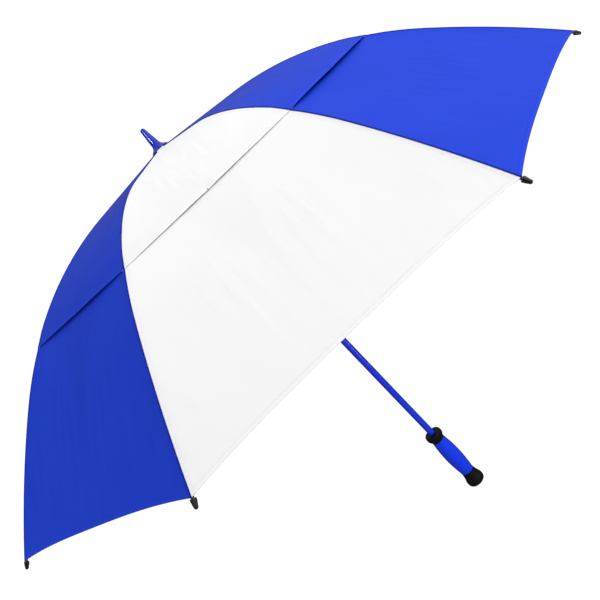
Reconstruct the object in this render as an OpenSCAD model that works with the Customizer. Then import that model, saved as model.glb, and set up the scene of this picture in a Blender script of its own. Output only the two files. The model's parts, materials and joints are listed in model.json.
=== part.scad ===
// Manual golf umbrella, double (vented) canopy, eight ribs, straight handle.
// Shown open. +Z runs up the shaft, the origin is the centre of the butt's end face.
// The release lever is on the +X side.

/* [Overall] */
// Height of the canopy seat above the butt's end face, just under the ferrule
seat_z = 953.5; // [940:0.5:980]
// Length of one rib along its curve, from crown hinge to the canopy's corner
rib_len = 762; // [740:1:780]
// Outside diameter of the shaft
shaft_d = 14; // [13.6:0.1:14.2]
// Wall of the shaft tube
shaft_wall = 1.6; // [1.2:0.1:2.4]

/* [Rib curve] */
// Slope of the rib at the crown, degrees below level
slope_crown = 7; // [5:0.5:9]
// Slope where the inner rib meets the outer rib
slope_joint = 25.5; // [24:0.5:27]
// Slope at the end of the first arc of the outer rib
slope_shoulder = 40.5; // [39:0.5:42]
// Slope at the tip
slope_tip = 47.5; // [46:0.5:49]
// Share of the rib that leaves the crown straight
part_straight = 0.22; // [0.18:0.01:0.25]
// Share of the rib up to the rib joint
part_joint = 0.455; // [0.44:0.005:0.47]
// Share of the rib up to the end of the first outer arc
part_shoulder = 0.68; // [0.62:0.01:0.74]
// Diameter of the rib rods
rib_d = 4; // [3.6:0.1:4]

/* [Hinges] */
// Radius of the circle that the rib eyes and the stretcher eyes sit on
hinge_r = 11; // [11:0.1:11.4]
// Thickness of each eye blade
blade_t = 2.4; // [2.2:0.1:2.5]
// Side clearance in the slots and forks, all told
slot_gap = 0.4; // [0.2:0.1:0.5]
// Distance from the rib joint back to the stretcher pin, along the rib
pin_back = 13; // [12:0.5:14]
// Distance of the stretcher pin below the rib's centreline
pin_drop = 7; // [6.8:0.1:7.4]

/* [Canopy] */
// Thickness of a canopy panel
cloth_t = 0.8; // [0.6:0.1:1]
// Length along the rib at which the upper canopy ends
vent_hem_s = 427; // [415:1:435]
// Length along the rib at which the lower canopy begins
vent_mouth_s = 366; // [362:1:372]
// Depth of the hem's scallop between two tips
scallop = 9.5; // [0:0.5:28]
// Sag of a panel's middle below the straight line between two ribs
panel_sag = 5; // [0:1:10]

/* [Handle] */
// Height of the butt cap
butt_h = 36; // [33:1:40]
// Length of the grip
grip_h = 96; // [88:1:104]
// Height of the collar
collar_h = 20.5; // [19:0.5:26]
// Largest radius of the butt cap
butt_r = 19.5; // [18:0.5:21]
// Largest radius of the grip
grip_r = 18; // [16.5:0.5:19]
// Radius of the handle where its parts meet
waist_r = 14.6; // [14:0.2:15.4]

/* [Hidden] */
$fn = 48;

// Colours shared by several nodes
shaft_blue = [0.10, 0.20, 0.82];
hub_black = [0.05, 0.05, 0.06];
handle_black = [0.04, 0.04, 0.04];
frame_black = [0.06, 0.06, 0.07];
wire_grey = [0.75, 0.76, 0.78];

rib_count = 8;
gore_angle = 360 / rib_count;
half_gore = gore_angle / 2;

fit = 0.06;     // radial clearance of a bore on the shaft or on a rib
end_gap = 0.1;  // clearance past a shaft end, and at each end of the grip
cut = 1;        // how far a cutter runs past a face
shaft_r = shaft_d / 2;
bore_r = shaft_r + fit;
shaft_foot_z = 14;
shaft_top_z = seat_z + 15;
hinge_z = seat_z - 6;
rib_r = rib_d / 2;

// ---- Rib curve, in the plane of one rib: [distance from the axis, height] ----
// Straight, then three arcs. An "_s" value is a length along the rib from the crown hinge.
bend_s = rib_len * part_straight;
joint_s = rib_len * part_joint;
shoulder_s = rib_len * part_shoulder;

// Unit vectors along a slope (outward and down) and square to it (upward)
function heading(slope) = [cos(slope), -sin(slope)];
function upward(slope) = [sin(slope), cos(slope)];
// Radius of an arc of the given length between two slopes
function arc_radius(slope_1, slope_2, len) = len / ((slope_2 - slope_1) * PI / 180);

hinge_pt = [hinge_r, hinge_z];
bend_pt = hinge_pt + bend_s * heading(slope_crown);
inner_arc_r = arc_radius(slope_crown, slope_joint, joint_s - bend_s);
inner_arc_c = bend_pt - inner_arc_r * upward(slope_crown);
joint_pt = inner_arc_c + inner_arc_r * upward(slope_joint);
shoulder_arc_r = arc_radius(slope_joint, slope_shoulder, shoulder_s - joint_s);
shoulder_arc_c = joint_pt - shoulder_arc_r * upward(slope_joint);
shoulder_pt = shoulder_arc_c + shoulder_arc_r * upward(slope_shoulder);
tip_arc_r = arc_radius(slope_shoulder, slope_tip, rib_len - shoulder_s);
tip_arc_c = shoulder_pt - tip_arc_r * upward(slope_shoulder);

function blend(from, to, share) = from + (to - from) * share;
function rib_slope(s) =
    s <= bend_s ? slope_crown :
    s <= joint_s ? blend(slope_crown, slope_joint, (s - bend_s) / (joint_s - bend_s)) :
    s <= shoulder_s ?
        blend(slope_joint, slope_shoulder, (s - joint_s) / (shoulder_s - joint_s)) :
    blend(slope_shoulder, slope_tip, (s - shoulder_s) / (rib_len - shoulder_s));
function rib_point(s) =
    s <= bend_s ? hinge_pt + s * heading(slope_crown) :
    s <= joint_s ? inner_arc_c + inner_arc_r * upward(rib_slope(s)) :
    s <= shoulder_s ? shoulder_arc_c + shoulder_arc_r * upward(rib_slope(s)) :
    tip_arc_c + tip_arc_r * upward(rib_slope(s));

// ---- Stretcher line: as long as the line from crown hinge to stretcher pin ----
pin_pt = joint_pt - pin_back * heading(slope_joint) - pin_drop * upward(slope_joint);
link_len = norm(pin_pt - hinge_pt);
// The runner's hinge lies as far below the pin as the crown's hinge lies above it
runner_z = hinge_z - 2 * (hinge_z - pin_pt[1]);
runner_pt = [hinge_r, runner_z];

// ---- Helpers ----
function rib_azimuth(i) = half_gore + (i - 1) * gore_angle;

// Stands a shape drawn in the plane of one rib (x outward, y up) in its place
module in_plane(azimuth) rotate([0, 0, azimuth]) rotate([90, 0, 0]) children();

// Thickens a flat shape evenly to both sides of its plane
module plate(thick) translate([0, 0, -thick / 2]) linear_extrude(thick) children();

// Turns local +Z to run from a point down along a slope
module along_slope(point, slope)
    translate([point[0], point[1], 0]) rotate([0, 0, -slope]) rotate([0, 90, 0]) children();

// Cutter for the hole that the shaft passes through
module shaft_bore(z, h) translate([0, 0, z]) cylinder(h = h, r = bore_r);

// Flat bar with round ends, a little slimmer between them
module bar2d(from, to, end_r) {
    span = to - from;
    half_w = end_r - 0.25;
    translate(from) circle(end_r);
    translate(to) circle(end_r);
    translate(from) rotate(atan2(span[1], span[0]))
        translate([0, -half_w]) square([norm(span), 2 * half_w]);
}

// Straight rod between two points
module rod(from, to, r = rib_r) {
    span = to - from;
    along_slope(from, -atan2(span[1], span[0])) cylinder(h = norm(span), r = r);
}

// Bent rod that follows one arc of the rib between two lengths along it
module bent_rod(centre, radius, from_s, to_s) {
    slope_1 = rib_slope(from_s);
    slope_2 = rib_slope(to_s);
    translate([centre[0], centre[1], 0]) rotate([0, 0, 90 - slope_2])
        rotate_extrude(angle = slope_2 - slope_1, $fn = 96)
            translate([radius, 0]) circle(rib_r, $fn = 32);
}

// Bead on the rib, with a waist for the thread that ties the canopy to the rib
module bead(s, r)
    along_slope(rib_point(s), rib_slope(s)) translate([0, 0, -4])
        rotate_extrude($fn = 32) polygon([  // [radius, place along the bead]
            [0, 0], [r - 0.1, 0], [r, 0.3], [r, 3], [r - 0.1, 3.6],
            [r - 0.1, 4.4], [r, 5], [r, 7.7], [r - 0.1, 8], [0, 8]]);

// ---- Hubs and their wire rings ----
slot_w = blade_t + slot_gap;
hub_rim = 4;      // from the hinge circle out to the hub's rim
slot_in = 2.4;    // from the hinge circle in to a slot's floor
slot_len = 8;
wire_r = 0.6;
groove_r = 0.65;

// Hub with a radial slot for every eye and a groove, open on top, for the wire ring
module slotted_hub(z, up, down) {
    cutter_z = z - down - cut;
    cutter_h = up + down + 2 * cut;
    difference() {
        translate([0, 0, z - down]) cylinder(h = up + down, r = hinge_r + hub_rim);
        shaft_bore(cutter_z, cutter_h);
        for (i = [1:rib_count]) rotate([0, 0, rib_azimuth(i)])
            translate([hinge_r - slot_in, -slot_w / 2, cutter_z])
                cube([slot_len, slot_w, cutter_h]);
        translate([0, 0, z]) rotate_extrude() {
            translate([hinge_r, 0]) circle(groove_r);
            translate([hinge_r - groove_r, 0]) square([2 * groove_r, up + cut]);
        }
    }
}

module wire_ring(z)
    color(wire_grey) translate([0, 0, z]) rotate_extrude()
        translate([hinge_r, 0]) circle(wire_r, $fn = 24);

module crown() color(hub_black) slotted_hub(hinge_z, up = 4, down = 5);
module crown_ring() wire_ring(hinge_z);
module runner_ring() wire_ring(runner_z);

// ---- Shaft and top ----
window_w = 6.2;      // width of the latch windows in shaft and runner
window_depth = 6;    // radial length of their cutters

module shaft() {
    inner_r = shaft_r - shaft_wall;
    plug_h = 6;       // solid length at the top
    window_h = 9;
    window_drop = 24; // from the runner's hinges down to the window's foot
    bore_z = shaft_foot_z - cut;
    color(shaft_blue) difference() {
        translate([0, 0, shaft_foot_z]) cylinder(h = shaft_top_z - shaft_foot_z, r = shaft_r);
        translate([0, 0, bore_z]) cylinder(h = shaft_top_z - plug_h - bore_z, r = inner_r);
        // window that the runner's latch nose points at when the umbrella is open
        translate([inner_r - 2, -window_w / 2, runner_z - window_drop])
            cube([window_depth, window_w, window_h]);
    }
}

module ferrule() {
    z = seat_z + 0.5;
    base_r = 18.2;
    base_z = 0.9;
    neck_r = 8.4;
    neck_z = 15;
    nose_r = 5;
    nose_z = 44.5;
    color(shaft_blue) difference() {
        // chamfered foot, hollow flare, straight taper, round nose
        translate([0, 0, z]) rotate_extrude($fn = 96) polygon(concat(
            [[0, 0], [base_r - 0.4, 0], [base_r, 0.4]],
            [for (k = [0:12]) let (t = k / 12)
                [neck_r + (base_r - neck_r) * pow(1 - t, 2.6), blend(base_z, neck_z, t)]],
            [for (k = [1:6]) let (t = k / 6)
                [blend(neck_r, nose_r, t), blend(neck_z, nose_z, t)]],
            [for (k = [1:8]) let (a = k * 90 / 8)
                [nose_r * cos(a), nose_z + nose_r * sin(a)]]));
        shaft_bore(z - cut, shaft_top_z + end_gap - z + cut);
    }
}

module canopy_washer() {
    color(hub_black) translate([0, 0, seat_z - 1.9]) difference() {
        // the smaller disc lies inside the larger one
        union() {
            cylinder(h = 1.4, r = 16);
            cylinder(h = 0.6, r = 15);
        }
        shaft_bore(-cut, 4);
    }
}

// ---- Handle ----
module handle_butt() {
    face_r = 11;      // flat end face
    round_h = 8.5;    // height of the rounded bottom
    flare_z = 12.5;   // the side narrows to the waist from here up
    color(handle_black) difference() {
        rotate_extrude($fn = 96) polygon(concat(
            [[0, 0], [face_r, 0]],
            [for (k = [1:10]) let (a = k * 9)
                [face_r + (butt_r - face_r) * pow(sin(a), 0.8),
                    round_h * (1 - pow(cos(a), 0.8))]],
            [for (k = [0:12]) let (t = k / 12)
                [waist_r + (butt_r - waist_r) * pow(1 - t, 1.7), blend(flare_z, butt_h, t)]],
            [[0, butt_h]]));
        shaft_bore(shaft_foot_z - end_gap, butt_h);
    }
}

module handle_grip() {
    z = butt_h + end_gap;
    h = grip_h - 2 * end_gap;
    color([0.05, 0.14, 0.78]) difference() {
        translate([0, 0, z]) rotate_extrude($fn = 96) polygon(concat(
            [[0, 0]],
            [for (k = [0:16]) let (t = k / 16)
                [waist_r + (grip_r - waist_r) * sin(180 * t), h * t]],
            [[0, h]]));
        shaft_bore(z - cut, h + 2 * cut);
    }
}

module handle_collar() {
    z = butt_h + grip_h;
    rim_r = butt_r - 0.5;
    flare_h = collar_h - 9;
    round_w = 3.4;    // width and height of the rounded top edge
    round_h = 6;
    dish_z = collar_h - 1.2;
    color(handle_black) difference() {
        translate([0, 0, z]) rotate_extrude($fn = 96) polygon(concat(
            [[0, 0]],
            [for (k = [0:10]) let (t = k / 10)
                [waist_r + (rim_r - waist_r) * (0.5 - 0.5 * cos(180 * t)), flare_h * t]],
            [for (k = [1:9]) let (a = k * 10)
                [rim_r - round_w + round_w * cos(a), collar_h - round_h + round_h * sin(a)]],
            [[10.5, collar_h], [9, dish_z], [0, dish_z]]));
        shaft_bore(z - cut, collar_h + 2 * cut);
    }
}

// ---- Runner and latch ----
lever_x = 13;               // the lever's pivot
lever_z = runner_z - 30;
trunnion_r = 1.6;

module runner() {
    hub_half_h = 5;
    foot_z = runner_z - 66;
    cheek_y = 4.3;          // inner face of each cheek
    cheek_t = 2.4;
    color(hub_black) {
        slotted_hub(runner_z, up = hub_half_h, down = hub_half_h);
        difference() {
            union() {
                // barrel, run 0.01 into the hub
                translate([0, 0, foot_z])
                    cylinder(h = runner_z - hub_half_h - foot_z + 0.01, r = 9.9);
                // pull flange at the foot
                translate([0, 0, foot_z]) rotate_extrude() polygon(
                    [[8, 0], [12.6, 0], [13.4, 0.8], [13.4, 4], [12.6, 4.8], [8, 9]]);
                // cheeks that carry the release lever
                for (y = [-cheek_y - cheek_t, cheek_y]) translate([8.2, y, runner_z - 50])
                    cube([7, cheek_t, 36]);
            }
            shaft_bore(runner_z - 70, 80);
            // window for the latch nose
            translate([5, -window_w / 2, runner_z - 23]) cube([window_depth, window_w, 7]);
            // lever's pivot holes
            translate([lever_x, 10, lever_z]) rotate([90, 0, 0])
                cylinder(h = 20, r = trunnion_r + 0.1);
        }
    }
}

// Lever: pad below its pivot, nose above it, trunnions moulded on.
// Outlines are [outward, up] from the pivot.
module release_lever() {
    trunnion_len = 13;
    color([0.10, 0.11, 0.12]) translate([lever_x, 0, lever_z]) rotate([90, 0, 0]) {
        plate(8) polygon([
            [-0.2, -18], [2.2, -18.5], [3.6, -16], [3.9, -12], [3.4, -8], [1.4, -4],
            [1.3, 12.6], [0.6, 13.4], [-1.3, 13.4], [-1.3, -4]]);
        plate(5.2) polygon([
            [-1.2, 8.2], [-1.2, 13], [-5.85, 13], [-5.85, 11], [-3.5, 8.2]]);
        translate([0, 0, -trunnion_len / 2]) cylinder(h = trunnion_len, r = trunnion_r);
    }
}

// Leaf spring between the runner's barrel and the lever's pad.
// Outline is [distance from the axis, height over the spring's middle].
module latch_spring() {
    color([0.8, 0.8, 0.82]) translate([0, 0, lever_z - 10]) rotate([90, 0, 0])
        plate(5) polygon([
            [10.0, 5.6], [10.35, 5.6], [11.55, 0], [10.35, -5.6], [10.0, -5.6], [11.2, 0]]);
}

// ---- Moving frame ----
eye_r = 2.1;          // blade end on a wire ring, and its hole
eye_hole_r = 0.8;
eye_len = 8.5;
rod_start = 8;        // the rod starts inside the eye blade
pin_r = 1.2;
pin_len = 6.8;
pin_eye_r = 2.2;      // blade end on a pin, and its hole
pin_hole_r = pin_r + 0.05;
bead_gap = 1;         // rods stop this far from a bead's middle

// Flat blade with a hole at its first end
module blade(from, to, end_r, hole_r)
    plate(blade_t) difference() {
        bar2d(from, to, end_r);
        translate(from) circle(hole_r);
    }

// Inner rib: eye blade, rod, and the clip that carries the outer rib and the stretcher
module inner_rib(i) {
    clip_t = 1.2;     // each of the clip's two cheeks
    color(frame_black) in_plane(rib_azimuth(i)) {
        blade(hinge_pt, rib_point(eye_len), eye_r, eye_hole_r);
        rod(rib_point(rod_start), rib_point(bend_s - bead_gap));
        bead(bend_s, rib_r + 0.6);
        bent_rod(inner_arc_c, inner_arc_r, bend_s + bead_gap, joint_s - 22);
        // socket between the rod and the clip
        rod(rib_point(joint_s - 26), rib_point(joint_s - 10), rib_r + 0.8);
        for (z = [-slot_w / 2 - clip_t, slot_w / 2]) translate([0, 0, z])
            linear_extrude(clip_t) {
                bar2d(rib_point(joint_s - 15), joint_pt, 2.8);
                bar2d(rib_point(joint_s - pin_back), pin_pt, 2.5);
            }
        for (pin = [joint_pt, pin_pt]) translate([pin[0], pin[1], -pin_len / 2])
            cylinder(h = pin_len, r = pin_r);
    }
}

module outer_rib(i) {
    color(frame_black) in_plane(rib_azimuth(i)) {
        blade(joint_pt, rib_point(joint_s + 10), pin_eye_r, pin_hole_r);
        bent_rod(shoulder_arc_c, shoulder_arc_r, joint_s + 9, shoulder_s - bead_gap);
        bead(shoulder_s, rib_r + 0.2);
        // runs on past the canopy's corner, into the tip cap
        bent_rod(tip_arc_c, tip_arc_r, shoulder_s + bead_gap, rib_len + 7);
    }
}

module tip_cap(i) {
    bore_depth = 8;
    dome_r = 2.9;
    dome_z = 9.3;
    color([0.03, 0.03, 0.03]) in_plane(rib_azimuth(i))
        along_slope(rib_point(rib_len), slope_tip) translate([0, 0, 0.4]) difference() {
            rotate_extrude() polygon(concat(
                [[0, 0], [3.9, 0], [4.1, 0.4], [4.1, 2.2]],
                [for (k = [0:6]) let (a = k * 15)
                    [dome_r * cos(a), dome_z + dome_r * sin(a)]]));
            translate([0, 0, -cut]) cylinder(h = bore_depth + cut, r = rib_r + fit);
        }
}

module stretcher(i) {
    outward = (pin_pt - runner_pt) / link_len;
    color(frame_black) in_plane(rib_azimuth(i)) {
        blade(runner_pt, runner_pt + eye_len * outward, eye_r, eye_hole_r);
        rod(runner_pt + rod_start * outward, pin_pt - 9 * outward);
        blade(pin_pt, pin_pt - 9.5 * outward, pin_eye_r, pin_hole_r);
    }
}

// ---- Canopy ----
seam_gap = 0.4;       // from a panel's side edge to the rib's plane, across the panel

// Two triangles on four corners
function quad(a, b, c, d) = [[a, b, c], [a, c, d]];

// One gore between two ribs, as a thin closed sheet. from_s and to_s are lengths along the
// rib, lift is its height over the rib's centreline, hem_cut the depth of its scalloped hem.
// Rows run down the rib, columns run across from rib to rib.
module gore(from_s, to_s, lift, hem_cut, sag, cols, rows = 12) {
    function sheet_point(row, col, h) =
        let (
            across = 2 * col / cols - 1,
            bulge = 1 - across * across,
            end_s = to_s - hem_cut * bulge,
            s = blend(from_s, end_s, row / rows),
            up = upward(rib_slope(s)),
            edge = rib_point(s) + (lift + h) * up,
            half_w = edge[0] * sin(half_gore) - seam_gap,
            drop = sag * sin(180 * row / rows) * bulge * up)
        [edge[0] * cos(half_gore) - drop[0], across * half_w, edge[1] - drop[1]];
    m = cols + 1;           // points in a row
    n = (rows + 1) * m;     // points in a face, so a + n lies under a
    points = [for (h = [cloth_t, 0], row = [0:rows], col = [0:cols]) sheet_point(row, col, h)];
    faces = concat(
        // top and underside
        [for (row = [0:rows - 1], col = [0:cols - 1]) let (a = row * m + col)
            each quad(a, a + 1, a + m + 1, a + m)],
        [for (row = [0:rows - 1], col = [0:cols - 1]) let (a = n + row * m + col)
            each quad(a, a + m, a + m + 1, a + 1)],
        // the two side edges
        [for (row = [0:rows - 1]) let (a = row * m)
            each quad(a, a + m, n + a + m, n + a)],
        [for (row = [0:rows - 1]) let (a = row * m + cols)
            each quad(a, n + a, n + a + m, a + m)],
        // the edge nearest the shaft and the hem
        [for (a = [0:cols - 1]) each quad(a, n + a, n + a + 1, a + 1)],
        [for (col = [0:cols - 1]) let (a = rows * m + col)
            each quad(a, a + 1, n + a + 1, n + a)]);
    polyhedron(points, faces);
}

// Panels alternate white and blue
module panel(i)
    color(i % 2 == 0 ? [0.93, 0.93, 0.94] : [0.16, 0.27, 0.88])
        rotate([0, 0, i * gore_angle]) children();

module upper_panel(i) panel(i)
    gore(from_s = 14, to_s = vent_hem_s, lift = 4.6, hem_cut = 0, sag = panel_sag * 0.4,
        cols = 8);
module lower_panel(i) panel(i)
    gore(from_s = vent_mouth_s, to_s = rib_len - 1, lift = 2.5, hem_cut = scallop,
        sag = panel_sag, cols = 10);

shaft();
ferrule();
crown();
crown_ring();
canopy_washer();
handle_collar();
handle_grip();
handle_butt();
runner();
runner_ring();
release_lever();
latch_spring();
inner_rib(1);  // inner_rib_1
inner_rib(2);  // inner_rib_2
inner_rib(3);  // inner_rib_3
inner_rib(4);  // inner_rib_4
inner_rib(5);  // inner_rib_5
inner_rib(6);  // inner_rib_6
inner_rib(7);  // inner_rib_7
inner_rib(8);  // inner_rib_8
outer_rib(1);  // outer_rib_1
outer_rib(2);  // outer_rib_2
outer_rib(3);  // outer_rib_3
outer_rib(4);  // outer_rib_4
outer_rib(5);  // outer_rib_5
outer_rib(6);  // outer_rib_6
outer_rib(7);  // outer_rib_7
outer_rib(8);  // outer_rib_8
tip_cap(1);  // tip_cap_1
tip_cap(2);  // tip_cap_2
tip_cap(3);  // tip_cap_3
tip_cap(4);  // tip_cap_4
tip_cap(5);  // tip_cap_5
tip_cap(6);  // tip_cap_6
tip_cap(7);  // tip_cap_7
tip_cap(8);  // tip_cap_8
stretcher(1);  // stretcher_1
stretcher(2);  // stretcher_2
stretcher(3);  // stretcher_3
stretcher(4);  // stretcher_4
stretcher(5);  // stretcher_5
stretcher(6);  // stretcher_6
stretcher(7);  // stretcher_7
stretcher(8);  // stretcher_8
upper_panel(1);  // upper_panel_1
upper_panel(2);  // upper_panel_2
upper_panel(3);  // upper_panel_3
upper_panel(4);  // upper_panel_4
upper_panel(5);  // upper_panel_5
upper_panel(6);  // upper_panel_6
upper_panel(7);  // upper_panel_7
upper_panel(8);  // upper_panel_8
lower_panel(1);  // lower_panel_1
lower_panel(2);  // lower_panel_2
lower_panel(3);  // lower_panel_3
lower_panel(4);  // lower_panel_4
lower_panel(5);  // lower_panel_5
lower_panel(6);  // lower_panel_6
lower_panel(7);  // lower_panel_7
lower_panel(8);  // lower_panel_8
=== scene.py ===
import json
import math

import bpy
import numpy as np
from mathutils import Matrix, Vector

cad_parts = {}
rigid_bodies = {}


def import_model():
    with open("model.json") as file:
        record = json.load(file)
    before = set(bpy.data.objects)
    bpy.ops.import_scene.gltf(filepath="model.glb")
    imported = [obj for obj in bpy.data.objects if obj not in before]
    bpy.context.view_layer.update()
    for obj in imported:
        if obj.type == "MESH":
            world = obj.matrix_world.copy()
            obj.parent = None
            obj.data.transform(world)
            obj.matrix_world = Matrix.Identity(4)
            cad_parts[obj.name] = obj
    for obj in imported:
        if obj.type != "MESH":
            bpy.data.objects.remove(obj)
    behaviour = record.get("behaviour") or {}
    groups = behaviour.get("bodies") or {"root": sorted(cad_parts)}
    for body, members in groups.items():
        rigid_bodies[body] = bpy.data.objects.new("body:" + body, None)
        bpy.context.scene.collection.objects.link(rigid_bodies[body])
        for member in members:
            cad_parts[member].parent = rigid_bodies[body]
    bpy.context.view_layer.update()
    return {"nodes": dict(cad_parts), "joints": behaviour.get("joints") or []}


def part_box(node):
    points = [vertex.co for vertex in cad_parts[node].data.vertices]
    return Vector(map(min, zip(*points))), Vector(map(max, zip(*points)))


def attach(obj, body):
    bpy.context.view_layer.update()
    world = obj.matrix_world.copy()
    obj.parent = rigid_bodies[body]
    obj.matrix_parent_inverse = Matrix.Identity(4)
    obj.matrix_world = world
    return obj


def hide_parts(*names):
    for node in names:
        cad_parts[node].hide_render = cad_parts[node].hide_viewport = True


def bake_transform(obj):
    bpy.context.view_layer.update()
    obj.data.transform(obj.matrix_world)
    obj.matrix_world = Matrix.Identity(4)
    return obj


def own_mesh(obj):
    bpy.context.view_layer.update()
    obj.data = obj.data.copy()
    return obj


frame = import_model()

# ------------------------------------------------------------------ the ribs' curve
RIBS = 8
HALF_GORE = math.pi / RIBS  # half the angle between two ribs
# Distances along a rib from its hinge at the crown.
RIB_LENGTH = 0.762
INNER_TIE = RIB_LENGTH * 0.22
KNEE = RIB_LENGTH * 0.455  # where the inner rib meets the outer
OUTER_TIE = RIB_LENGTH * 0.68
# Degrees below level at the inner tie (and all the way in), knee, outer tie and tip.
SLOPES = (7.0, 25.5, 40.5, 47.5)


def joint_centre(name):
    """A joint's centre in the plane of a rib: distance from the axis, and height."""
    joint = next(j for j in frame["joints"] if j["name"] == name)
    x, y, z = joint["pos_m"]
    return np.array([math.hypot(x, y), z])


def heading(slope):
    return np.array([math.cos(math.radians(slope)), -math.sin(math.radians(slope))])


def upward(slope):
    return np.array([math.sin(math.radians(slope)), math.cos(math.radians(slope))])


def arc(start, slopes, length):
    """Radius and centre of an arc that leaves start at one slope and ends at the other."""
    radius = length / math.radians(slopes[1] - slopes[0])
    return radius, start - radius * upward(slopes[0])


HINGE = joint_centre("fold")
INNER_ARC = arc(HINGE + INNER_TIE * heading(SLOPES[0]), SLOPES[0:2], KNEE - INNER_TIE)
MIDDLE_ARC = arc(joint_centre("rib_flex_1"), SLOPES[1:3], OUTER_TIE - KNEE)
OUTER_ARC = arc(MIDDLE_ARC[1] + MIDDLE_ARC[0] * upward(SLOPES[2]), SLOPES[2:4],
                RIB_LENGTH - OUTER_TIE)


def slope_at(s):
    return float(np.interp(s, (INNER_TIE, KNEE, OUTER_TIE, RIB_LENGTH), SLOPES))


def point_at(s):
    """The rib's centre line at distance s: distance from the axis, and height."""
    slope = slope_at(s)
    if s <= INNER_TIE:
        return HINGE + s * heading(slope)
    radius, centre = INNER_ARC if s <= KNEE else MIDDLE_ARC if s <= OUTER_TIE else OUTER_ARC
    return centre + radius * upward(slope)


def rib_azimuth(i):
    return HALF_GORE + (i - 1) * 2 * HALF_GORE


def gore_azimuth(i):
    return i * 2 * HALF_GORE


def turn(p, angle):
    """p turned about the Z axis."""
    c, s = math.cos(angle), math.sin(angle)
    return np.array([c * p[0] - s * p[1], s * p[0] + c * p[1], p[2]])


def swing(flat, azimuth):
    """A rib-plane point or direction (out, up) as a 3D one at an azimuth."""
    return turn((flat[0], 0, flat[1]), azimuth)


def unit(vector):
    return vector / np.linalg.norm(vector)


def smooth(x):
    x = min(1.0, max(0.0, x))
    return x * x * (3 - 2 * x)


# ------------------------------------------------------------------ shader helpers
class Shader:
    """A node tree, with short calls that add nodes and give back their output."""

    def __init__(self, tree):
        self.tree = tree

    def feed(self, socket, value):
        if isinstance(value, bpy.types.NodeSocket):
            self.tree.links.new(value, socket)
        else:
            socket.default_value = value

    def set(self, node, **values):
        """Values go to the inputs of that name (_ for a space), or else to node properties."""
        for key, value in values.items():
            label = key.replace("_", " ")
            if label in node.inputs:
                self.feed(node.inputs[label], value)
            else:
                setattr(node, key, value)

    def node(self, kind, **values):
        node = self.tree.nodes.new("ShaderNode" + kind)
        self.set(node, **values)
        return node

    def math(self, operation, *values, clamp=False):
        node = self.node("Math", operation=operation, use_clamp=clamp)
        for socket, value in zip(node.inputs, values):
            self.feed(socket, value)
        return node.outputs[0]

    def add(self, a, b):
        return self.math("ADD", a, b)

    def sub(self, a, b, clamp=False):
        return self.math("SUBTRACT", a, b, clamp=clamp)

    def mul(self, a, b, clamp=False):
        return self.math("MULTIPLY", a, b, clamp=clamp)

    def mix_value(self, factor, a, b):
        node = self.node("Mix", data_type="FLOAT")
        for index, value in ((0, factor), (2, a), (3, b)):
            self.feed(node.inputs[index], value)
        return node.outputs[0]

    def mix_color(self, factor, a, b):
        node = self.node("Mix", data_type="RGBA")
        for index, value in ((0, factor), (6, a), (7, b)):
            self.feed(node.inputs[index], (*value, 1) if isinstance(value, tuple) else value)
        return node.outputs[2]

    def noise(self, vector, Detail=3.0, **values):
        return self.node("TexNoise", Vector=vector, Detail=Detail, **values).outputs["Fac"]

    def mapped(self, vector, **values):
        return self.node("Mapping", Vector=vector, **values).outputs[0]

    def bump(self, height, **values):
        return self.node("Bump", Height=height, **values).outputs["Normal"]

    def object_coords(self):
        return self.node("TexCoord").outputs["Object"]

    def facing(self, blend, power):
        """Rises towards the outline of a rounded piece."""
        facing = self.node("LayerWeight", Blend=blend).outputs["Facing"]
        return self.math("POWER", facing, power)

    def band(self, x, centre, width):
        """1 within half a width of centre, else 0."""
        distance = self.math("ABSOLUTE", self.sub(x, centre))
        return self.math("LESS_THAN", distance, width / 2)


def scaled(color, share):
    return tuple(x * share for x in color)


def principled(name):
    material = bpy.data.materials.new(name)
    material.use_nodes = True
    return material, Shader(material.node_tree), material.node_tree.nodes["Principled BSDF"]


# ------------------------------------------------------------------ materials
THREAD_PITCH = 0.0005
STITCH_PITCH = 0.0032
STITCH_GAP = 0.32  # share of the pitch
STITCH_WIDTH = 0.0007


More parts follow.
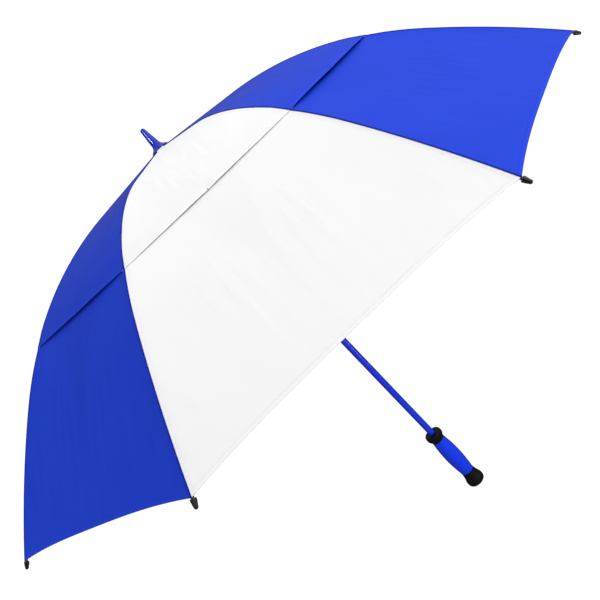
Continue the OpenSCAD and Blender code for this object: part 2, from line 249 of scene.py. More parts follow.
def cloth(name, color, deep, hem, thread, outline_shade_power, outline_shade_share, crease_shade_strength):
    """Woven cloth. Layer "cloth" holds metres across and along the gore, and "edge" the
    distances to its seam and hem."""
    material, sh, bsdf = principled(name)
    uv = sh.node("UVMap", uv_map="cloth").outputs["UV"]
    edge_uv = sh.node("UVMap", uv_map="edge").outputs["UV"]
    across, along, _ = sh.node("SeparateXYZ", Vector=uv).outputs
    to_seam, to_hem, _ = sh.node("SeparateXYZ", Vector=edge_uv).outputs
    # threads, over and under
    turns = 2 * math.pi / THREAD_PITCH
    weave = sh.mul(sh.math("SINE", sh.mul(across, turns)), sh.math("SINE", sh.mul(along, turns)))
    slub = sh.noise(uv, Scale=900.0, Detail=2.0)
    # soft unevenness
    tone = sh.noise(uv, Scale=9.0, Detail=4.0, Roughness=0.55)
    streak = sh.noise(sh.mapped(uv, Scale=(60, 5, 1)), Scale=1.0)
    c = sh.mix_color(sh.mul(sh.add(tone, streak), 0.5), deep, color)
    # the doubled cloth of seams and hems
    doubled = sh.math("MAXIMUM", sh.math("LESS_THAN", to_seam, 0.0055),
                      sh.math("LESS_THAN", to_hem, 0.0065))
    c = sh.mix_color(doubled, c, hem)
    # stitch rows
    dashes = [sh.math("GREATER_THAN", sh.math("FRACT", sh.mul(x, 1 / STITCH_PITCH)), STITCH_GAP)
              for x in (across, along)]
    stitches = sh.math(
        "MAXIMUM",
        sh.mul(sh.band(to_hem, centre=0.0052, width=STITCH_WIDTH), dashes[0]),
        sh.mul(sh.band(to_seam, centre=0.0044, width=STITCH_WIDTH), dashes[1]))
    c = sh.mix_color(sh.mul(stitches, 0.8), c, thread)
    # painted shade: the cloth darkens towards its outline, where it is seen edge-on
    rim = sh.mul(sh.facing(blend=0.5, power=outline_shade_power), outline_shade_share, clamp=True)
    c = sh.mix_color(rim, c, scaled(deep, 0.35))
    # slanting creases, in patches, with painted shade darkening the cloth along them
    slant = sh.mapped(uv, Rotation=(0, 0, 0.55), Scale=(55, 7, 1))
    crease = sh.noise(slant, Scale=1.0, Detail=2.0, Roughness=0.4)
    patches = sh.mul(sh.sub(sh.noise(uv, Scale=5.0, Detail=1.0), 0.42), 4.0, clamp=True)
    crease_shade = sh.mul(sh.mul(sh.sub(crease, 0.5), patches), crease_shade_strength, clamp=True)
    c = sh.mix_color(crease_shade, c, scaled(deep, 0.55))
    sh.set(bsdf, Base_Color=c, Roughness=sh.add(sh.mul(slub, 0.12), 0.50),
           Specular_IOR_Level=0.035, Sheen_Roughness=0.4)
    # relief, from the finest up: threads, seams and stitches, soft waves, creases
    relief = sh.bump(sh.add(weave, sh.mul(slub, 0.6)), Strength=0.35, Distance=0.00008)
    lift = sh.sub(sh.mul(doubled, 0.5), sh.mul(stitches, 0.35))
    relief = sh.bump(lift, Strength=0.6, Distance=0.0006, Normal=relief)
    waves = sh.noise(uv, Scale=24.0, Detail=2.0)
    relief = sh.bump(waves, Strength=0.22, Distance=0.0016, Normal=relief)
    relief = sh.bump(sh.mul(crease, patches), Strength=0.5, Distance=0.0035, Normal=relief)
    sh.set(bsdf, Normal=relief)
    # thin cloth lets a little light through
    through = sh.node("BsdfTranslucent", Color=c)
    mix = sh.node("MixShader", Fac=0.10)
    sh.feed(mix.inputs[1], bsdf.outputs[0])
    sh.feed(mix.inputs[2], through.outputs[0])
    sh.set(sh.tree.nodes["Material Output"], Surface=mix.outputs[0])
    return material


# painted shade: darkens a rounded piece's colour towards its outline
def painted_outline_shade(sh, c, share, tint):
    rim = sh.mul(sh.facing(blend=0.35, power=1.6), share, clamp=True)
    return sh.mix_color(rim, c, tint)


def plastic(name, color, deep, rough, spec, grain, depth,
            coat=0.0, wear=None, outline=0.0, vary=0.16):
    """Smooth plastic or lacquer; grain and depth are its fine relief, vary its roughness's."""
    material, sh, bsdf = principled(name)
    coords = sh.object_coords()
    tone = sh.noise(coords, Scale=35.0, Detail=4.0, Roughness=0.6)
    c = sh.mix_color(tone, deep, color)
    # painted shade towards the outline, as much as outline asks
    if outline:
        c = painted_outline_shade(sh, c, outline, scaled(deep, 0.18))
    if wear:
        # light scuffs
        scuffs = sh.noise(coords, Scale=420.0, Detail=6.0, Roughness=0.75)
        c = sh.mix_color(sh.mul(sh.math("GREATER_THAN", scuffs, 0.66), 0.35), c, wear)
    patches = sh.noise(coords, Scale=140.0)
    sh.set(bsdf, Base_Color=c, Specular_IOR_Level=spec, Coat_Weight=coat, Coat_Roughness=0.08,
           Roughness=sh.add(sh.mul(sh.sub(patches, 0.5), vary), rough))
    fine = sh.noise(coords, Scale=grain, Detail=2.0)
    sh.set(bsdf, Normal=sh.bump(fine, Strength=0.5, Distance=depth))
    return material


def pebbled(name, color, deep, rough, size, depth, spec, outline=0.0):
    """A surface of small rounded grains, of the given size and depth."""
    material, sh, bsdf = principled(name)
    coords = sh.object_coords()
    grains = sh.node("TexVoronoi", Vector=coords, Scale=1 / size, feature="SMOOTH_F1")
    hollow = grains.outputs["Distance"]
    tone = sh.noise(coords, Scale=60.0, Detail=4.0, Roughness=0.6)
    c = sh.mix_color(tone, deep, color)
    # painted shade: darker in the hollows between the grains
    c = sh.mix_color(sh.mul(hollow, 0.35, clamp=True), c, scaled(color, 0.45))
    # painted shade towards the outline, as much as outline asks
    if outline:
        c = painted_outline_shade(sh, c, outline, scaled(deep, 0.2))
    sh.set(bsdf, Base_Color=c, Specular_IOR_Level=spec,
           Roughness=sh.add(sh.mul(sh.noise(coords, Scale=90.0), 0.14), rough - 0.07))
    relief = sh.bump(sh.sub(1.0, hollow), Strength=0.7, Distance=depth)
    fine = sh.noise(coords, Scale=2500.0, Detail=2.0)
    sh.set(bsdf, Normal=sh.bump(fine, Strength=0.3, Distance=0.00003, Normal=relief))
    return material


def metal(name, color, rough, streak):
    """Metal, its grain squeezed along each axis by streak."""
    material, sh, bsdf = principled(name)
    coords = sh.mapped(sh.object_coords(), Scale=streak)
    grain = sh.noise(coords, Scale=300.0, Detail=4.0)
    sh.set(bsdf, Base_Color=sh.mix_color(grain, scaled(color, 0.78), color), Metallic=1.0,
           Roughness=sh.add(sh.mul(grain, 0.18), rough),
           Normal=sh.bump(grain, Strength=0.25, Distance=0.00004))
    return material


BLUE = cloth(
    "cloth_blue_woven", color=(0.017, 0.061, 0.645), deep=(0.011, 0.044, 0.57),
    hem=(0.016, 0.059, 0.685), thread=(0.006, 0.020, 0.42),
    outline_shade_power=8.0, outline_shade_share=0.65, crease_shade_strength=1.2)
WHITE = cloth(
    "cloth_white_woven", color=(0.95, 0.95, 0.952), deep=(0.925, 0.925, 0.93),
    hem=(0.985, 0.985, 0.988), thread=(0.82, 0.83, 0.87),
    outline_shade_power=30.0, outline_shade_share=0.25, crease_shade_strength=0.18)
SHAFT = plastic(
    "shaft_lacquer", color=(0.010, 0.040, 0.78), deep=(0.008, 0.034, 0.72),
    rough=0.20, spec=0.24, grain=900, depth=0.000003, outline=1.3, vary=0.05)
FERRULE = plastic(
    "ferrule_plastic", color=(0.006, 0.020, 0.42), deep=(0.004, 0.014, 0.34),
    rough=0.15, spec=0.25, grain=1300, depth=0.00001, outline=1.0, vary=0.08)
HUB = plastic(
    "hub_nylon", color=(0.020, 0.020, 0.022), deep=(0.012, 0.012, 0.013),
    rough=0.42, spec=0.4, grain=1800, depth=0.00004, wear=(0.05, 0.05, 0.055))
RUBBER = pebbled(
    "handle_rubber", color=(0.0035, 0.0035, 0.004), deep=(0.0025, 0.0025, 0.003),
    rough=0.55, size=0.0011, depth=0.00006, spec=0.12)
GRIP = pebbled(
    "grip_foam", color=(0.008, 0.052, 0.98), deep=(0.005, 0.036, 0.84),
    rough=0.52, size=0.0013, depth=0.00012, spec=0.14, outline=1.1)
LEVER = plastic(
    "lever_nylon", color=(0.030, 0.031, 0.034), deep=(0.020, 0.020, 0.022),
    rough=0.36, spec=0.45, grain=1600, depth=0.00003, wear=(0.07, 0.07, 0.075))
RIB = plastic(
    "rib_enamel", color=(0.016, 0.016, 0.018), deep=(0.010, 0.010, 0.011),
    rough=0.30, spec=0.5, grain=1200, depth=0.00002, coat=0.2, wear=(0.06, 0.06, 0.062))
TIP = plastic(
    "tip_plastic", color=(0.004, 0.004, 0.0046), deep=(0.003, 0.003, 0.0034),
    rough=0.20, spec=0.25, grain=1400, depth=0.00001, coat=0.12,
    wear=(0.02, 0.02, 0.021), vary=0.08)
WIRE = metal("spring_steel", color=(0.62, 0.62, 0.64), rough=0.22, streak=(1, 1, 60))
# A spare: no piece wears it.
metal("rivet_steel", color=(0.55, 0.55, 0.57), rough=0.30, streak=(1, 1, 1))
THREAD = pebbled(
    "tie_thread", color=(0.05, 0.05, 0.055), deep=(0.03, 0.03, 0.034),
    rough=0.8, size=0.0006, depth=0.0001, spec=0.2)
TACK = pebbled(
    "tack_thread", color=(0.66, 0.66, 0.68), deep=(0.55, 0.55, 0.58),
    rough=0.8, size=0.0006, depth=0.0001, spec=0.15)
PIPING = pebbled(
    "seam_piping", color=(0.006, 0.024, 0.40), deep=(0.004, 0.018, 0.32),
    rough=0.7, size=0.0008, depth=0.0001, spec=0.08)

# The CAD pieces' materials, by name without the number.
FRAME_MATERIALS = {
    "shaft": SHAFT, "ferrule": FERRULE, "crown": HUB, "crown_ring": WIRE,
    "canopy_washer": HUB, "handle_collar": RUBBER, "handle_grip": GRIP,
    "handle_butt": RUBBER, "runner": HUB, "runner_ring": WIRE, "release_lever": LEVER,
    "latch_spring": WIRE, "inner_rib": RIB, "outer_rib": RIB, "tip_cap": TIP,
    "stretcher": RIB,
}
for name, obj in frame["nodes"].items():
    material = FRAME_MATERIALS.get(name.rstrip("_12345678"))
    if material:
        obj.data.materials.clear()
        obj.data.materials.append(material)

# Cloth, tack material and slot of the even gores, then of the odd ones.
GORE_LOOKS = ((WHITE, TACK, "cloth_white"), (BLUE, PIPING, "cloth_blue"))


# ------------------------------------------------------------------ mesh helpers
def make_mesh(name, verts, faces, material, normals=None, uvs=None):
    mesh = bpy.data.meshes.new(name)
    mesh.from_pydata([tuple(v) for v in verts], [], faces)
    mesh.materials.append(material)
    for polygon in mesh.polygons:
        polygon.use_smooth = True
    if uvs:
        index = np.zeros(len(mesh.loops), np.int32)
        mesh.loops.foreach_get("vertex_index", index)
        for key, values in uvs.items():
            layer = mesh.uv_layers.new(name=key)
            layer.data.foreach_set("uv", np.asarray(values, np.float32)[index].ravel())
    mesh.update()
    if normals is not None:
        mesh.normals_split_custom_set_from_vertices([tuple(n) for n in normals])
    obj = bpy.data.objects.new(name, mesh)
    bpy.context.scene.collection.objects.link(obj)
    return obj


def row_faces(first, second, count, side):
    """Quads between two rows of count vertices, given each row's first index. The two
    sides of a gore are mirror images, so their winding is too."""
    quads = [(first + j, first + j + 1, second + j + 1, second + j) for j in range(count - 1)]
    return quads if side > 0 else [quad[::-1] for quad in quads]


def tube(points, ups, radius, sides, flatten=1.0):
    """Verts and faces of a closed tube along points; flatten scales its height along ups."""
    verts, faces = [], []
    last = len(points) - 1
    for k, p in enumerate(points):
        along = unit(points[min(k + 1, last)] - points[max(k - 1, 0)])
        across = unit(np.cross(along, ups[k]))
        up = np.cross(across, along)
        for q in range(sides):
            a = 2 * math.pi * q / sides
            verts.append(p + radius * math.cos(a) * across + radius * flatten * math.sin(a) * up)
    for k in range(last):
        for q in range(sides):
            a, b = k * sides + q, k * sides + (q + 1) % sides
            faces.append((a, b, b + sides, a + sides))
    faces.append(tuple(reversed(range(sides))))
    faces.append(tuple(range(last * sides, len(points) * sides)))
    return verts, faces


# ------------------------------------------------------------------ the canopy's shape
# "upper" cloth runs from the crown to the vent's hem; "lower" from under it to the rim.
UPPER_LIFT, LOWER_LIFT = 0.00495, 0.00275  # above the rib's centre line
UPPER_START, VENT_HEM = 0.014, 0.422  # along the rib
VENT_MOUTH, HEM = 0.366, 0.761
SCALLOP = 0.0095  # how far the rim is cut back in a gore's middle
UPPER_SAG, LOWER_SAG = 0.002, 0.005
TACK_PULL = 0.0011
# How far each gore's vent gapes in its middle.
GAPE = {5: 0.0026, 6: 0.0002, 7: 0.0055}
USUAL_GAPE = 0.0014


def cloth_lift(kind, s):
    if kind == "lower":
        return LOWER_LIFT
    return UPPER_LIFT - 0.0015 * smooth((s - VENT_HEM + 0.040) / 0.040)


def wave(x, edge, height, pitch, phase, reach):
    """A wave along x that dies away from the gore's edge."""
    return height * math.exp(-edge / reach) * math.sin(x / pitch + phase)


def ripple(kind, i, s, v, width):
    """Soft tension creases, a few tenths of a millimetre high: along the seams, and
    fanning out of the tips."""
    y = v * width
    edge = (1 - abs(v)) * width
    if kind == "lower":
        t = (s - VENT_MOUTH) / (HEM - VENT_MOUTH)
        fan = max(0.0, t) ** 3
        belly = math.sin(math.pi * min(1, max(0, t)))
        height = wave(edge, edge, height=0.0009 * fan, pitch=0.0075,
                      phase=0.7 * i + 6 * t, reach=0.05)
        height += wave(y, edge, height=0.00045 * belly, pitch=0.021, phase=1.9 * i, reach=0.10)
    else:
        t = s / VENT_HEM
        height = wave(y, edge, height=0.0006 * t * t, pitch=0.013,
                      phase=2.3 * i + 3 * t, reach=0.06)
        height += wave(edge, edge, height=0.0005 * (1 - t), pitch=0.009, phase=i, reach=0.03)
    return height * (1 - v * v)


def gore_point(kind, i, row, v):
    """A point of gore i's cloth in its own frame: x out through its middle, y across, z up.
    row is 0..1 along the cloth and v -1..1 across it. Also gives the distance along the
    rib, the gore's half width, and where the cloth ends along the rib."""
    v = max(-1.0, min(1.0, v))
    gape = GAPE.get((i - 1) % RIBS + 1, USUAL_GAPE)
    if kind == "lower":
        start, end = VENT_MOUTH, HEM - SCALLOP * (1 - abs(v) ** 3.0)
        sag, gap = LOWER_SAG, 0.6 * gape * (1 - row) ** 2
    else:
        start, end = UPPER_START, VENT_HEM
        sag, gap = UPPER_SAG, -0.4 * gape * row ** 6
    s = start + (end - start) * row
    up = upward(slope_at(s))
    p = point_at(s) + cloth_lift(kind, s) * up
    width = p[0] * math.sin(HALF_GORE)
    drop = sag * math.sin(math.pi * row) * (1 - v * v) + gap * (1 - v ** 6)
    drop -= ripple(kind, i, s, v, width)
    if kind == "upper":
        # the tack in the middle of the hem draws the cloth down in a dimple
        drop += TACK_PULL * math.exp(-(v * width / 0.008) ** 2 - ((s - VENT_HEM) / 0.012) ** 2)
    drop = drop * up
    point = np.array([p[0] * math.cos(HALF_GORE) - drop[0], v * width, p[1] - drop[1]])
    return point, s, width, end


def gore_normal(kind, i, row, v):
    e = 0.004
    v = max(-1 + e, min(1 - e, v))
    inner, outer = max(0.0, row - e), min(1.0, row + e)
    along = gore_point(kind, i, outer, v)[0] - gore_point(kind, i, inner, v)[0]
    across = gore_point(kind, i, row, v + e)[0] - gore_point(kind, i, row, v - e)[0]
    normal = unit(np.cross(along, across))
    return normal if normal[2] > 0 else -normal


def neighbour(kind, i, row, v, step):
    """Point and normal on gore i + step, seen in gore i's frame."""
    point = gore_point(kind, i + step, row, v)[0]
    normal = gore_normal(kind, i + step, row, v)
    return turn(point, step * 2 * HALF_GORE), turn(normal, step * 2 * HALF_GORE)


LAP_DEPTH = 0.00035  # how far a hidden lap lies below the cloth it runs under
SEAM_LAP = 0.008
COLUMNS = 22


def cloth_vertex(kind, i, row, v, side):
    """Position and normal for one column of a half gore. v runs from 1 at this half's rib
    to 0 at the gore's middle; past either end the cloth runs on, as a lap, just under the
    cloth beyond it."""
    if v > 1:
        # seam allowance, under the neighbouring gore
        _, s, width, end = gore_point(kind, i + side, row, -side * (2 - v))
        p, n = neighbour(kind, i, row, -side * (2 - v), side)
        return p - n * LAP_DEPTH * smooth((v - 1) * width / 0.004), n, s, width, end
    p, s, width, end = gore_point(kind, i, row, side * v)
    n = gore_normal(kind, i, row, side * v)
    if v < -1:
        # near the crown the mid-line's lap reaches past the next rib
        p, n = neighbour(kind, i, row, side * (2 + v), -side)
    if v < 0:
        p = p - n * LAP_DEPTH * smooth(-v * width / 0.004) * (1 + smooth(-v - 0.8) * 1.5)
    return p, n, s, width, end


def column_stations(width, mid_lap):
    """The v of each column: the seam's lap, the half gore, then the mid-line's lap."""
    lap = min(mid_lap, 2.7 * width)
    vs = [1 + min(0.5, SEAM_LAP / width), 1 + min(0.25, 0.5 * SEAM_LAP / width)]
    vs += [1 - (1 - math.cos(math.pi * 0.5 * j / COLUMNS)) * 0.35 - 0.65 * j / COLUMNS
           for j in range(COLUMNS + 1)]
    # two more columns in the last gap before the middle
    vs[-1:-1] = [vs[-2] * 2 / 3, vs[-2] / 3]
    return vs + [-min(0.006, lap * 0.5) / width] + [-lap / width * t for t in (0.4, 0.7, 1.0)]


# A hem's rows, as (distance outward, drop): a rolled edge, then the doubled cloth beneath.
HEM_ROWS = ((0.0004, 0.0002), (0.0002, 0.0006), (-0.0060, 0.0006))


def half_gore(name, kind, i, side, rows, mid_lap, start=0.0, end=1.0, hem=False, sink=False):
    """One half of a gore between two rows, 0..1 of its length. The half on side -1 meets
    rib i, on side 1 rib i + 1. mid_lap gives the lap past the mid-line at a row."""
    verts, normals, cloth_uv, edge_uv = [], [], [], []
    for k in range(rows + 1):
        row = start + (end - start) * k / rows
        stations = column_stations(gore_point(kind, i, row, 0)[2], mid_lap(row))
        for v in stations:
            p, n, s, width, cloth_end = cloth_vertex(kind, i, row, v, side)
            if sink:
                # runs on under the cloth below the rib's knee
                p = p - n * 0.0008 * smooth((s - KNEE) / 0.004)
            verts.append(turn(p, gore_azimuth(i)))
            normals.append(turn(n, gore_azimuth(i)))
            cloth_uv.append((v * width, s))
            edge_uv.append((abs(1 - abs(v)) * width, max(0.0, cloth_end - s)))
    count = len(stations)
    faces = []
    for k in range(rows):
        faces += row_faces(k * count, (k + 1) * count, count, side)
    if hem:
        base = last = rows * count
        for offset, drop in HEM_ROWS:
            first = len(verts)
            for j in range(base, base + count):
                p, n = verts[j], normals[j]
                outward = unit(p - verts[j - count])
                verts.append(p + outward * offset - n * drop)
                normals.append(n if offset < 0 else unit(outward * 0.8 - n * 0.2))
                cloth_uv.append(cloth_uv[j])
                edge_uv.append((edge_uv[j][0], 0.001))
            faces += row_faces(last, first, count, side)
            last = first
    uvs = {"cloth": cloth_uv, "edge": edge_uv}
    return make_mesh(name, verts, faces, GORE_LOOKS[i % 2][0], normals, uvs)


def gather(obj):
    """Gives the piece a mesh of its own."""
    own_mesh(obj)


# ------------------------------------------------------------------ the gores
# Gore, side, rib and name ending of each half gore.
HALVES = [(i, side, i if side < 0 else i % RIBS + 1, f"{i}{'a' if side < 0 else 'b'}")
          for i in range(1, RIBS + 1) for side in (-1, 1)]
KNEE_ROW = (KNEE - UPPER_START) / (VENT_HEM - UPPER_START)

for i, side, rib, tag in HALVES:
    upper = half_gore(f"upper_cloth_{tag}", "upper", i, side, rows=34, end=KNEE_ROW + 0.034,
                      mid_lap=lambda row: 0.085, sink=True)
    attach(upper, f"inner_rib_{rib}")
    gather(upper)
    strip = half_gore(f"upper_hem_{tag}", "upper", i, side, rows=9, start=KNEE_ROW,
                      mid_lap=lambda row: 0.060, hem=True)
    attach(strip, f"outer_rib_{rib}")
    gather(strip)
    lower = half_gore(f"lower_cloth_{tag}", "lower", i, side, rows=40, hem=True,
                      mid_lap=lambda row: 0.055 * (1 - smooth(row / 0.75)) + 0.002)
    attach(lower, f"outer_rib_{rib}")
    gather(lower)
    if side < 0:
        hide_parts(f"upper_panel_{i}")
        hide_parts(f"lower_panel_{i}")

# ------------------------------------------------------------------ cloth round the crown
# It is clamped between the washer and the ferrule, then runs down to the gores.
CLAMP_Z = (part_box("canopy_washer")[1].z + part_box("ferrule")[0].z) / 2
CROWN_COLUMNS = 6
EDGE_R, EDGE_Z = point_at(UPPER_START) + UPPER_LIFT * upward(SLOPES[0])  # the gores' top edge
# Radius and height of each ring.
CROWN_PROFILE = [
    (0.0076, CLAMP_Z), (0.012, CLAMP_Z), (0.0166, CLAMP_Z),
    (0.0188, CLAMP_Z - 0.0001), (0.0215, CLAMP_Z - 0.0011),
    (EDGE_R + 0.0002, EDGE_Z + 0.00005), (EDGE_R + 0.004, EDGE_Z - 0.0009),
]
FULL_RINGS = len(CROWN_PROFILE)
# a collar hidden under the gores, each half cut short of the gore's middle
CROWN_PROFILE += [(r, EDGE_Z - 0.0010 - (r - EDGE_R) * math.tan(math.radians(SLOPES[0])))
                  for r in (0.033, 0.038, 0.044)]


def crown_cloth(tag, i, side):
    verts, uv = [], []
    for k, (r, z) in enumerate(CROWN_PROFILE):
        half_width = r * math.sin(HALF_GORE)
        reach = 1.0
        if k >= FULL_RINGS:
            reach = min(1.0, 0.428 * (0.0158 + (r - 0.011) * 0.276) / half_width)
        for j in range(CROWN_COLUMNS + 1):
            v = 1 - reach * j / CROWN_COLUMNS
            p = (r * math.cos(HALF_GORE), side * v * half_width, z)
            verts.append(turn(p, gore_azimuth(i)))
            uv.append((v * half_width, r))
    count = CROWN_COLUMNS + 1
    faces = []
    for k in range(len(CROWN_PROFILE) - 1):
        faces += row_faces(k * count, (k + 1) * count, count, side)
    normals = [swing(unit(np.array([0.12, 1.0])), gore_azimuth(i))] * len(verts)
    uvs = {"cloth": uv, "edge": [(1.0, 1.0)] * len(verts)}
    return make_mesh(f"crown_cloth_{tag}", verts, faces, GORE_LOOKS[i % 2][0], normals, uvs)


for i, side, rib, tag in HALVES:
    crown = crown_cloth(tag, i, side)
    azimuth = rib_azimuth(rib)
    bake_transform(crown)


# ------------------------------------------------------------------ piping and ties
def seam_piping(name, kind, start, end, azimuth):
    """Flattened piping on the cloth over a rib, between two distances along it."""
    points, ups = [], []
    for s in np.linspace(start, end, max(6, int((end - start) / 0.012))):
        up = upward(slope_at(s))
        points.append(swing(point_at(s) + (cloth_lift(kind, s) + 0.0001) * up, azimuth))
        ups.append(swing(up, azimuth))
    return make_mesh(name, *tube(points, ups, radius=0.0014, sides=8, flatten=0.5), PIPING)


def tie(name, s, waist, azimuth):
    """Three turns of thread wound round the waist of the bead at s."""
    centre = swing(point_at(s), azimuth)
    along = swing(heading(slope_at(s)), azimuth)
    up = swing(upward(slope_at(s)), azimuth)
    across = turn((0, 1, 0), azimuth)
    points, ups = [], []
    for k in range(61):
        a = 2 * math.pi * k / 20
        out = math.cos(a) * up + math.sin(a) * across
        points.append(centre + (waist + 0.0001) * out + along * (k / 60 - 0.5) * 0.0010)
        ups.append(out)
    return make_mesh(name, *tube(points, ups, radius=0.00022, sides=6), THREAD)


for i in range(1, RIBS + 1):
    azimuth = rib_azimuth(i)
    for tag, body, kind, start, end in (
            ("a", "inner", "upper", UPPER_START - 0.004, KNEE),
            ("b", "outer", "upper", KNEE, VENT_HEM + 0.0005),
            ("c", "outer", "lower", VENT_HEM - 0.002, HEM + 0.0005)):
        piping = seam_piping(f"seam_{tag}_{i}", kind, start, end, azimuth)
        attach(piping, f"{body}_rib_{i}")
    for body, s, waist in (("inner", INNER_TIE, 0.0026), ("outer", OUTER_TIE, 0.0024)):
        thread = tie(f"tie_{body}_{i}", s, waist, azimuth)
        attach(thread, f"{body}_rib_{i}")

# ------------------------------------------------------------------ tacks
# A short bar of four threads over the middle of each upper gore's hem.
TACK_PITCH = 0.0007
# One thread's path: distance past the hem, height above the cloth.
TACK_PATH = ((-0.0026, -0.0002), (-0.0022, 0.0003), (-0.0012, 0.0004),
             (0.0, 0.0003), (0.0007, -0.0002), (0.0007, -0.0010))


def tack(i):
    p = gore_point("upper", i, 1.0, 0)[0]
    n = gore_normal("upper", i, 1.0, 0)
    down = unit(p - gore_point("upper", i, 0.99, 0)[0])
    ups = [turn((0, 1, 0), gore_azimuth(i))] * len(TACK_PATH)
    verts, faces = [], []
    for q in range(4):
        across = np.array([0, (q - 1.5) * TACK_PITCH, 0])
        points = [turn(p + across + down * past + n * height, gore_azimuth(i))
                  for past, height in TACK_PATH]
        thread_verts, thread_faces = tube(points, ups, radius=0.00038, sides=6)
        faces += [tuple(x + len(verts) for x in face) for face in thread_faces]
        verts += thread_verts
    return make_mesh(f"tack_{i}", verts, faces, GORE_LOOKS[i % 2][1])


for i in range(1, RIBS + 1):
    obj = tack(i)
    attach(obj, f"outer_rib_{i}")
    gather(obj)


# ------------------------------------------------------------------ leaf spring
def leaf_spring(low, high):
    """A bowed strip in the box of the CAD's spring, bulging towards +X. Each row has four
    vertices on its inner face, then four on its outer."""
    rows, thickness = 16, 0.0003
    middle, half = (low.z + high.z) / 2, (high.z - low.z) / 2
    verts, faces = [], []
    for k in range(rows + 1):
        t = 2 * k / rows - 1
        bow = 0.5 + 0.5 * math.cos(math.pi * t)
        x = low.x + 0.0001 + (high.x - low.x - 0.00045) * bow
        for dx in (0, thickness):
            for y in (-0.0024, -0.0021, 0.0021, 0.0024):
                # the outer face's long edges are eased
                ease = 0.00008 if abs(y) > 0.0022 and dx else 0
                verts.append((x + dx - ease, y, middle + t * half))
    for a in range(0, rows * 8, 8):
        for j in range(a, a + 3):
            faces.append((j, j + 1, j + 9, j + 8))
            faces.append((j + 5, j + 4, j + 12, j + 13))
        faces.append((a, a + 8, a + 12, a + 4))
        faces.append((a + 3, a + 7, a + 15, a + 11))
    faces.append((0, 4, 5, 6, 7, 3, 2, 1))
    faces.append(tuple(rows * 8 + j for j in (0, 1, 2, 3, 7, 6, 5, 4)))
    return make_mesh("leaf_spring", verts, faces, WIRE)


# It lies under the release lever's pad.
low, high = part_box("latch_spring")
spring = leaf_spring(low, high)
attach(spring, "runner")
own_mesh(spring)
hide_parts("latch_spring")

# ------------------------------------------------------------------ world and floor
BACKDROP = 1.05  # strength of world and floor as the camera sees them, a plain white
scene = bpy.context.scene
scene.view_settings.view_transform = "Standard"
scene.view_settings.look = "None"


def studio_world():
    """A soft surround, brightest from above on the +X side."""
    world = bpy.data.worlds.new("studio")
    scene.world = world
    world.use_nodes = True
    sh = Shader(world.node_tree)
    path = sh.node("LightPath")
    direction = sh.node("TexCoord").outputs["Generated"]
    dot = sh.node("VectorMath", operation="DOT_PRODUCT")
    sh.feed(dot.inputs[0], direction)
    sh.feed(dot.inputs[1], tuple(Vector((0.66, -0.12, 0.70)).normalized()))
    contrast, strength = 1.8, 0.53
    glow = sh.add(sh.mul(dot.outputs["Value"], contrast), 1.0)
    glow = sh.mul(sh.math("MAXIMUM", glow, 0.0), strength)
    sh.set(world.node_tree.nodes["Background"], Color=(1, 1, 1, 1),
           Strength=sh.mix_value(path.outputs["Is Camera Ray"], glow, BACKDROP))


def floor_material():
    """White to the camera. Glossy surfaces see a brighter wedge on the -Y side, so that the
    upright tubes get a soft highlight."""
    material = bpy.data.materials.new("floor_white")
    material.use_nodes = True
    nodes = material.node_tree.nodes
    nodes.remove(nodes["Principled BSDF"])
    sh = Shader(material.node_tree)
    emission = sh.node("Emission")
    path = sh.node("LightPath")
    position = sh.node("NewGeometry").outputs["Position"]
    x, y, _ = sh.node("SeparateXYZ", Vector=position).outputs
    front = sh.math("GREATER_THAN", sh.mul(y, -1.0), 0.02)
    ratio = sh.math("ABSOLUTE", sh.math("DIVIDE", x, y))
    narrowing, wedge_gain, glossy_base, diffuse = 1.3, 0.7, 0.15, 0.42
    wedge = sh.mul(front, sh.sub(1.0, sh.mul(ratio, narrowing), clamp=True), clamp=True)
    glossy = sh.add(sh.mul(wedge, wedge_gain), glossy_base)
    lit = sh.mix_value(path.outputs["Is Glossy Ray"], diffuse, glossy)
    seen = sh.mix_value(path.outputs["Is Camera Ray"], lit, BACKDROP)
    sh.set(emission, Strength=seen)
    sh.set(nodes["Material Output"], Surface=emission.outputs[0])
    return material


studio_world()
FLOOR_HALF, FLOOR_Z = 30, -0.004
mesh = bpy.data.meshes.new("floor")
corners = [(x * FLOOR_HALF, y * FLOOR_HALF, FLOOR_Z)
           for x, y in ((-1, -1), (1, -1), (1, 1), (-1, 1))]
mesh.from_pydata(corners, [], [(0, 1, 2, 3)])
floor = bpy.data.objects.new("floor", mesh)
scene.collection.objects.link(floor)
mesh.materials.append(floor_material())


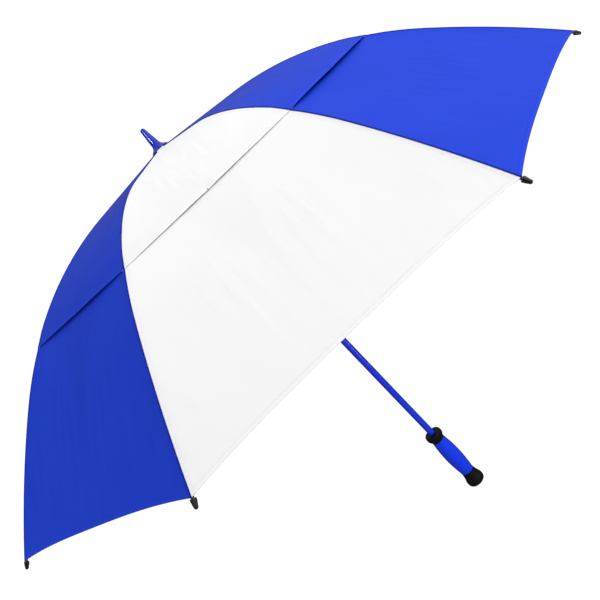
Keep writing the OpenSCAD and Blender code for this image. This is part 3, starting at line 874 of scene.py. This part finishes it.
# ------------------------------------------------------------------ camera
def add_camera(target, distance, elevation, yaw, roll, lens, shift):
    """A camera on the -Y side, looking at target and rolled; angles in radians."""
    back = np.array([math.cos(elevation) * math.sin(yaw),
                     -math.cos(elevation) * math.cos(yaw), math.sin(elevation)])
    eye = np.array(target) + distance * back
    level = unit(np.cross(-back, (0, 0, 1)))
    up = np.cross(level, -back)
    c, s = math.cos(roll), math.sin(roll)
    right, top = c * level + s * up, -s * level + c * up
    data = bpy.data.cameras.new("camera")
    data.sensor_width = 36
    data.lens = lens
    data.shift_x, data.shift_y = shift
    data.clip_start, data.clip_end = 0.05, 100
    camera = bpy.data.objects.new("camera", data)
    scene.collection.objects.link(camera)
    rows = [[right[k], top[k], back[k], eye[k]] for k in range(3)]
    camera.matrix_world = Matrix(rows + [[0, 0, 0, 1]])
    scene.camera = camera


add_camera(target=(0, 0, 0.61386), distance=1.38295, elevation=0.17783, yaw=-0.0241,
           roll=-0.76346, lens=41.892, shift=(0.03, -0.03933333))


# ------------------------------------------------------------------ lights
def area(name, at, size, power, aim):
    """A square area light."""
    light = bpy.data.lights.new(name, "AREA")
    light.shape = "RECTANGLE"
    light.size = light.size_y = size
    light.energy = power
    obj = bpy.data.objects.new(name, light)
    scene.collection.objects.link(obj)
    obj.location = at
    obj.rotation_mode = "QUATERNION"
    obj.rotation_quaternion = (Vector(aim) - Vector(at)).to_track_quat("-Z", "Y")
    return obj


area("key", at=(1.8, -1.15, 1.85), size=1.1, power=15.5, aim=(0, 0, 0.7))
area("left_fill", at=(-2.0, -0.6, 0.45), size=1.0, power=9.5, aim=(0, 0, 0.60))
# a small light that only the shaft and ferrule pick up
streak = area("streak", at=(-0.90, -1.07, 1.42), size=0.08, power=11, aim=(0, 0, 0.98))
streak_parts = bpy.data.collections.new("streak_parts")
for obj in bpy.data.objects:
    if obj.type == "MESH" and obj.data.materials and obj.data.materials[0] in (FERRULE, SHAFT):
        streak_parts.objects.link(obj)
streak.light_linking.receiver_collection = streak_parts
low_fill = area("low_fill", at=(0.55, -0.70, 0.22), size=0.35, power=2.4, aim=(0, 0, 0.2))
low_fill.visible_camera = False
